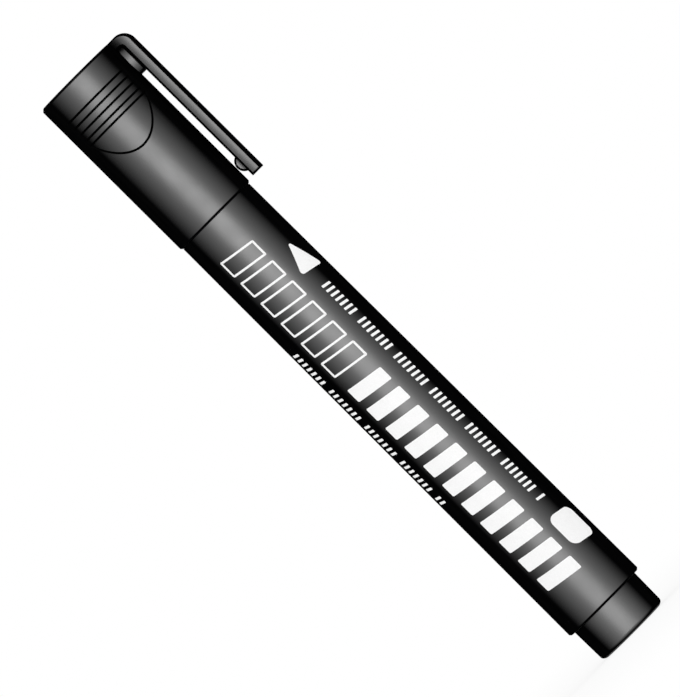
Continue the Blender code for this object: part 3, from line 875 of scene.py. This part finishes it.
class MARKER_OT_clip(bpy.types.Operator):
    """Draw the clip in one piece from the cap's end to its tip, cut across where it would flex at its root
    """

    bl_idname = "marker.clip"
    bl_label = "Clip"

    def make_strap(self, sizes, root, inner):
        """The leg, the bend and the strap, with crowned sides and sloped edges."""
        end = CAP_HIGH.z - WELD
        tip = CLIP_LOW.z - sizes.tip_reach
        outer = CLIP_HIGH.x
        leg = end - sizes.leg_underside
        corners = [
            (root, end, 0.0),
            (outer, end, sizes.bend),
            (outer, tip, 0.0),
            (inner, tip, 0.0),
            (inner, leg, sizes.inner_bend),
            (root, leg, 0.0),
        ]
        shape = slab(rounded_outline(corners, True), CLIP_HIGH.y)
        outer_edges = []
        for edge in square_edges(shape, CLIP_HIGH.y):
            middle = (edge.verts[0].co + edge.verts[1].co) / 2
            on_outer = middle.x > outer - WELD or middle.z > end - WELD
            from_centre = Vector((middle.x - outer + sizes.bend, middle.z - end + sizes.bend))
            on_bend = min(from_centre) > 0 and from_centre.length > sizes.bend / 2
            if on_outer or on_bend:
                outer_edges.append(edge)
        chamfer(shape, outer_edges, sizes.chamfer)
        chamfer(shape, square_edges(shape, CLIP_HIGH.y), sizes.inner_chamfer)
        self.shape_chamfer(shape, sizes, outer, end)
        cut_across(shape, 0, root, outer - sizes.chamfer, CROWN_CUTS)
        for vert in shape.verts:
            depth = max(outer - sizes.crown_start - vert.co.x, 0.0)
            vert.co.y -= math.copysign(sizes.crown * depth**2, vert.co.y)
        cut_across(shape, 2, CAP_HIGH.z - sizes.flex_start, CAP_HIGH.z - sizes.flex_end, FLEX_CUTS)
        return shape

    def shape_chamfer(self, shape, sizes, outer, end):
        """Steepen the outer slope, and let it run out round the bend to its width at the cap's end."""
        centre = Vector((outer - sizes.bend, end - sizes.bend))
        for vert in shape.verts:
            place = Vector((vert.co.x, vert.co.z)) - centre
            outward = Vector((max(place.x, 0.0), max(place.y, 0.0)))
            depth = sizes.bend - outward.length
            spare = (sizes.chamfer - sizes.end_chamfer) * math.atan2(outward.y, outward.x) / (math.pi / 2)
            if depth < WELD:
                reach = (sizes.chamfer - spare) * sizes.chamfer_steepness
                vert.co.y = math.copysign(CLIP_HIGH.y - reach, vert.co.y)
            elif depth < sizes.chamfer + sizes.inner_chamfer:
                move = outward.normalized() * spare * min(depth / sizes.chamfer, 1.0)
                vert.co.x += move.x
                vert.co.z += move.y

    def make_bump(self, sizes, inner):
        """The half-round bump that grips cloth, sunk into the strap."""
        low = CAP_HIGH.y + sizes.bump_gap
        rise = inner - low
        half = sizes.bump_half_length
        radius = (half**2 + rise**2) / (2 * rise)
        half_angle = math.asin(half / radius)
        middle = CLIP_LOW.z + sizes.bump_from_tip
        sunk = inner + sizes.thickness / 2
        outline = [Vector((sunk, middle + half)), Vector((sunk, middle - half))]
        for step in range(2 * ARC_STEPS + 1):
            angle = half_angle * (step / ARC_STEPS - 1)
            place = (low + radius * (1 - math.cos(angle)), middle + radius * math.sin(angle))
            outline.append(Vector(place))
        shape = slab(outline, sizes.bump_half_width)
        chamfer(shape, square_edges(shape, sizes.bump_half_width), sizes.inner_chamfer)
        flare_start = low + sizes.bump_flare_start
        cut_across(shape, 0, flare_start, inner, BUMP_CUTS)
        for vert in shape.verts:
            height = max(min(vert.co.x, inner) - flare_start, 0.0)
            vert.co.y += math.copysign(sizes.bump_flare * height**2, vert.co.y)
        return shape

    def execute(self, context):
        sizes = context.scene.marker_clip
        finishes = context.scene.marker_finishes
        root = CAP_HIGH.y - context.scene.marker_cap.wall / 2
        inner = CLIP_HIGH.x - sizes.thickness
        plastic = black_plastic("clip_plastic", finishes.black, finishes.worn_black, CAP_INDEX)
        clip = new_piece("clip_strap", self.make_strap(sizes, root, inner), plastic)
        combine(clip, self.make_bump(sizes, inner), "UNION", plastic)
        smooth(clip, CLIP_SHARP_ANGLE)
        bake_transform(clip)
        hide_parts("clip_arm")
        return {"FINISHED"}


# Front of the marker, under the cap


class MARKER_OT_front(bpy.types.Operator):
    """Turn the nib, its holder and the inner cap, and finish the fibre core and its film"""

    bl_idname = "marker.front"
    bl_label = "Nib and holder"

    def make_holder(self, sizes, segments, finishes, spigot):
        """The holder with its collar, neck, snap bead and nozzle, and two vent slots crossing its bore."""
        seat = BARREL_HIGH.z
        mouth = HOLDER_HIGH.z
        collar_top = CAP_LOW.z + sizes.collar_length
        neck_top = collar_top + sizes.neck_length
        nozzle_start = neck_top + sizes.shoulder_length
        nose_start = nozzle_start + sizes.nozzle_length
        bead = sizes.neck_radius + sizes.bead_height
        bead_low = CAP_LOW.z + sizes.bead_start
        bead_high = bead_low + sizes.bead_width
        edge = sizes.edge
        corners = [
            (sizes.mouth_radius, mouth, edge),
            (sizes.nozzle_radius, nose_start, 2 * edge),
            (sizes.nozzle_radius, nozzle_start, edge),
            (sizes.neck_radius, neck_top, edge),
            *raised_ring(sizes.neck_radius, bead, bead_high, bead_low, edge / 2),
            (sizes.neck_radius, collar_top, edge / 2),
            (HOLDER_HIGH.y, collar_top, edge),
            (HOLDER_HIGH.y, seat, edge / 2),
            (spigot, seat, 0.0),
            (spigot, HOLDER_LOW.z, edge),
            (sizes.passage_radius, HOLDER_LOW.z, edge / 2),
            (sizes.passage_radius, neck_top, 0.0),
            (sizes.nib_bore, neck_top, 0.0),
            (sizes.nib_bore, mouth, edge / 2),
        ]
        plastic = black_plastic("holder_plastic", finishes.holder_black, finishes.worn_black, CAP_INDEX)
        holder = new_piece("nib_socket", spun(corners, True, segments), plastic)
        vent_reach = 2 * (sizes.nib_bore + sizes.vent_depth)
        vent_length = 2 * (mouth - neck_top)
        middle = Matrix.Translation((0.0, 0.0, (mouth + neck_top) / 2))
        for width, depth in ((vent_reach, sizes.vent_width), (sizes.vent_width, vent_reach)):
            shape = bmesh.new()
            size = Matrix.Diagonal((width, depth, vent_length, 1.0))
            bmesh.ops.create_cube(shape, size=1.0, matrix=middle @ size)
            combine(holder, shape, "DIFFERENCE", plastic)
        set_on_frame(holder, "marker_body", "holder_plastic", "nib_holder")

    def make_nib(self, sizes, finishes):
        """The fibre nib with its cone and round tip."""
        radius = NIB_HIGH.y
        tip = sizes.nib_tip
        apex = NIB_HIGH.z + tip * (1 / math.sin(sizes.nib_half_angle) - 1)
        corners = [(0.0, NIB_HIGH.z, 0.0)]
        for step in range(1, ARC_STEPS + 1):
            angle = (math.pi / 2 - sizes.nib_half_angle) * step / ARC_STEPS
            corners.append((tip * math.sin(angle), NIB_HIGH.z - tip + tip * math.cos(angle), 0.0))
        corners += [
            (radius, apex - radius / math.tan(sizes.nib_half_angle), tip),
            (radius, NIB_LOW.z, sizes.edge),
            (0.0, NIB_LOW.z, 0.0),
        ]
        felt = fibre("nib_fibre", finishes.fibre, finishes.pale_fibre)
        nib = new_piece("fibre_nib", spun(corners, False, NIB_SEGMENTS), felt)
        set_on_frame(nib, "marker_body", "nib_fibre", "nib")

    def make_inner_cap(self, sizes, segments, finishes):
        """The sealing cup with its flange and sleeve."""
        low = INNER_CAP_LOW.z
        high = INNER_CAP_HIGH.z
        flange = INNER_CAP_HIGH.y
        sleeve = sizes.inner_bore + sizes.inner_wall
        corners = [
            (0.0, high, 0.0),
            (flange, high, sizes.edge),
            (flange, high - sizes.inner_flange, sizes.edge),
            (sleeve, high - sizes.inner_flange, sizes.edge),
            (sleeve, low, sizes.edge),
            (sizes.inner_bore, low, sizes.edge),
            (sizes.inner_bore, high - sizes.inner_end, sizes.edge),
            (0.0, high - sizes.inner_end, 0.0),
        ]
        plastic = milky_plastic("inner_cap_plastic", finishes.milky, finishes.milky_shade)
        inner = new_piece("sealing_cup", spun(corners, False, segments), plastic)
        set_on_frame(inner, "cap", "inner_cap_plastic", "inner_cap")

    def execute(self, context):
        sizes = context.scene.marker_front
        barrel = context.scene.marker_barrel
        finishes = context.scene.marker_finishes
        spigot = barrel.front_radius - barrel.wall - barrel.fit_gap
        self.make_holder(sizes, barrel.segments, finishes, spigot)
        self.make_nib(sizes, finishes)
        self.make_inner_cap(sizes, barrel.segments, finishes)
        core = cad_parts["ink_core"]
        core.material_slots[0].material = fibre("core_fibre", finishes.fibre, finishes.pale_fibre)
        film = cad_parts["core_film"]
        film.material_slots[0].material = clear_film("core_film", finishes.film, finishes.fibre)
        return {"FINISHED"}


# Stage


def seen_directly(tree):
    """1 for rays that show the background: from the camera, mirrored or through glass."""
    camera = add_node(tree, "ShaderNodeLightPath", {}, "Is Camera Ray")
    mirrored = add_node(tree, "ShaderNodeLightPath", {}, "Is Glossy Ray")
    through = add_node(tree, "ShaderNodeLightPath", {}, "Is Transmission Ray")
    return calculate(tree, "ADD", calculate(tree, "ADD", camera, mirrored), through, use_clamp=True)


def show_mix(tree, output, share, first, second):
    """Show one shader or another, by a share from 0 to 1."""
    mix = add_node(tree, "ShaderNodeMixShader", {0: share, 1: first, 2: second})
    tree.links.new(mix, tree.nodes[output].inputs["Surface"])


class MARKER_OT_stage(bpy.types.Operator):
    """Lay the floor, hang the lamps, light the world and set the camera"""

    bl_idname = "marker.stage"
    bl_label = "Stage"

    def make_floor(self, stage, finishes):
        """A floor that shows white but for the marker's shadow."""
        matt = {"Roughness": FLOOR_ROUGHNESS, "Specular IOR Level": 0.0}
        material, tree, shader = new_material("floor", {"Base Color": tuple(finishes.floor), **matt})
        place = add_node(tree, "ShaderNodeTexCoord", {}, "Object")
        away = add_node(tree, "ShaderNodeVectorMath", {0: place}, "Value", operation="LENGTH")
        fade = map_range(tree, away, SHADOW_START, SHADOW_END, SHADOW_GLOW, 1.0, "SMOOTHSTEP")
        share = calculate(tree, "MULTIPLY", fade, seen_directly(tree))
        glow = add_node(tree, "ShaderNodeEmission", {"Color": WHITE, "Strength": 1.0})
        show_mix(tree, "Material Output", share, shader.outputs["BSDF"], glow)
        shape = bmesh.new()
        bmesh.ops.create_circle(shape, cap_ends=True, radius=stage.floor_radius, segments=FLOOR_SEGMENTS)
        floor = new_piece("floor", shape, material)
        floor.data.transform(Matrix.Translation((0.0, 0.0, CAD_BOX[0].z - FLOOR_DROP)))

    def make_world(self, scene, level):
        """Even light from all round, which shows as white."""
        scene.world = bpy.data.worlds.new("studio")
        scene.world.use_nodes = True
        tree = scene.world.node_tree
        dim = tree.nodes["Background"]
        dim.inputs["Color"].default_value = WHITE
        dim.inputs["Strength"].default_value = level
        white = add_node(tree, "ShaderNodeBackground", {"Color": WHITE, "Strength": 1.0})
        show_mix(tree, "World Output", seen_directly(tree), dim.outputs["Background"], white)

    def hang_lamp(self, scene, name, azimuth, elevation, distance, width, height, watts):
        """A softbox that is turned to the marker's middle and stays out of the picture."""
        data = bpy.data.lights.new(name, "AREA")
        data.shape = "RECTANGLE"
        data.size = width
        data.size_y = height
        data.energy = watts
        lamp = bpy.data.objects.new(name, data)
        turn = math.radians(azimuth)
        lift = math.radians(elevation)
        level = math.cos(lift)
        away = Vector((math.sin(turn) * level, -math.cos(turn) * level, math.sin(lift)))
        middle = (CAD_BOX[0] + CAD_BOX[1]) / 2
        lamp.location = Vector((0.0, 0.0, middle.z)) + away * distance
        lamp.rotation_euler = away.to_track_quat("Z", "Y").to_euler()
        lamp.visible_camera = False
        scene.collection.objects.link(lamp)

    def set_camera(self, scene, stage):
        """A camera square to the marker's side, rolled so that the marker lies aslant."""
        data = bpy.data.cameras.new("camera")
        data.sensor_fit = "HORIZONTAL"
        data.lens = data.sensor_width * stage.camera_distance / stage.frame_width
        camera = bpy.data.objects.new("camera", data)
        camera.location = (stage.aim_side, -stage.camera_distance, stage.aim_height)
        camera.rotation_euler = (math.pi / 2, stage.roll, 0.0)
        scene.collection.objects.link(camera)
        scene.camera = camera

    def execute(self, context):
        scene = context.scene
        stage = scene.marker_stage
        self.make_floor(stage, scene.marker_finishes)
        self.make_world(scene, stage.world_level)
        for name, settings in LAMPS.items():
            self.hang_lamp(scene, name, **settings)
        self.set_camera(scene, stage)
        scene.view_settings.view_transform = "Standard"
        return {"FINISHED"}


class MARKER_PT_pieces(bpy.types.Panel):
    """Pieces, sizes and finishes of the marker"""

    bl_idname = "MARKER_PT_pieces"
    bl_label = "Permanent Marker"
    bl_space_type = "VIEW_3D"
    bl_region_type = "UI"
    bl_category = "Marker"

    def draw(self, context):
        for operator in OPERATORS:
            self.layout.operator(operator.bl_idname)
        for name, group in PROPERTY_GROUPS.items():
            box = self.layout.box()
            for prop in group.__annotations__:
                box.prop(getattr(context.scene, name), prop)


OPERATORS = (
    MARKER_OT_barrel,
    MARKER_OT_print,
    MARKER_OT_cap,
    MARKER_OT_clip,
    MARKER_OT_front,
    MARKER_OT_stage,
)


def register():
    for group in PROPERTY_GROUPS.values():
        bpy.utils.register_class(group)
    for operator in OPERATORS:
        bpy.utils.register_class(operator)
    bpy.utils.register_class(MARKER_PT_pieces)
    for name, group in PROPERTY_GROUPS.items():
        setattr(bpy.types.Scene, name, PointerProperty(type=group))


def unregister():
    for name in PROPERTY_GROUPS:
        delattr(bpy.types.Scene, name)
    bpy.utils.unregister_class(MARKER_PT_pieces)
    for operator in reversed(OPERATORS):
        bpy.utils.unregister_class(operator)
    for group in reversed(PROPERTY_GROUPS.values()):
        bpy.utils.unregister_class(group)


def main():
    register()
    bpy.ops.marker.barrel()
    bpy.ops.marker.print()
    bpy.ops.marker.cap()
    bpy.ops.marker.clip()
    bpy.ops.marker.front()
    bpy.ops.marker.stage()


if __name__ == "__main__":
    main()
